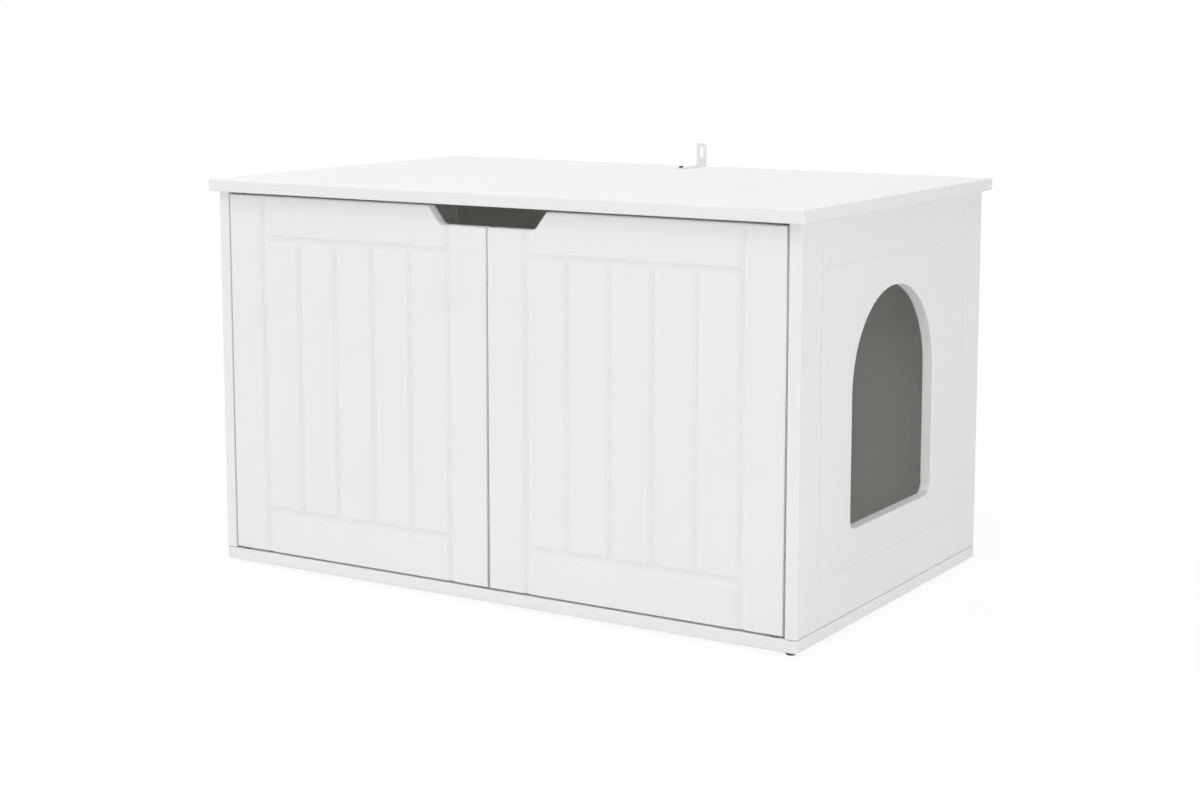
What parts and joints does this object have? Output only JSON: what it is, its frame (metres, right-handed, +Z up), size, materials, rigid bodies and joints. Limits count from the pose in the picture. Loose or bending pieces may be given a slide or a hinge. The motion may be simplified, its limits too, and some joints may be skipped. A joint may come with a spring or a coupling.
{
  "type": "cat cabinet",
  "caption": "White cabinet that hides a cat's litter box or bed: overhanging top, inset routed doors on pivots with a shared finger cutout, and a round-topped entry in the right side.",
  "frame": {"origin": "On the floor, under the middle of the top panel's footprint.", "axes": "+Z is up, -Y is the front with the doors, +X is the right side with the arched entry."},
  "size_m": [0.835, 0.535, 0.5255],
  "materials": {
    "white_board": "satin white paint on fibreboard",
    "white_back": "white painted hardboard",
    "zinc_steel": "bright zinc plate",
    "cast_zinc": "die-cast zinc alloy",
    "black_steel": "black oxide",
    "white_plastic": "moulded white plastic",
    "black_plastic": "moulded black nylon",
    "grey_plastic": "turned grey acetal",
    "ferrite": "sintered ferrite magnet",
    "beech": "turned beech"
  },
  "bodies": {
    "cabinet": {"top_panel": "white_board", "base_panel": "white_board", "left_side_panel": "white_board", "right_side_panel": "white_board", "back_panel": "white_back", "catch_screws": "zinc_steel", "cam_bolts": "zinc_steel", "cam_locks": "cast_zinc", "cam_caps": "white_plastic", "top_dowels": "beech", "base_dowels": "beech", "base_screws": "zinc_steel", "floor_glides": "black_plastic", "glide_nails": "zinc_steel", "wall_bracket": "zinc_steel", "bracket_screw": "black_steel", "left_upper_pivot_bush": "grey_plastic", "left_lower_pivot_bush": "grey_plastic", "left_catch_housing": "white_plastic", "left_catch_magnet": "ferrite", "left_catch_pole_plates": "zinc_steel", "right_upper_pivot_bush": "grey_plastic", "right_lower_pivot_bush": "grey_plastic", "right_catch_housing": "white_plastic", "right_catch_magnet": "ferrite", "right_catch_pole_plates": "zinc_steel"},
    "left_door": {"left_door": "white_board", "left_upper_pivot_pin": "zinc_steel", "left_lower_pivot_pin": "zinc_steel", "left_strike_plate": "zinc_steel", "left_strike_screw": "zinc_steel"},
    "right_door": {"right_door": "white_board", "right_upper_pivot_pin": "zinc_steel", "right_lower_pivot_pin": "zinc_steel", "right_strike_plate": "zinc_steel", "right_strike_screw": "zinc_steel"}
  },
  "joints": [
    {"name": "left_door_swing", "type": "hinge", "parent": "cabinet", "child": "left_door", "pos_m": [-0.3795, -0.249, 0.25], "axis": [0, 0, -1], "range_deg": [0, 110]},
    {"name": "right_door_swing", "type": "hinge", "parent": "cabinet", "child": "right_door", "pos_m": [0.3795, -0.249, 0.25], "axis": [0, 0, 1], "range_deg": [0, 110]}
  ]
}
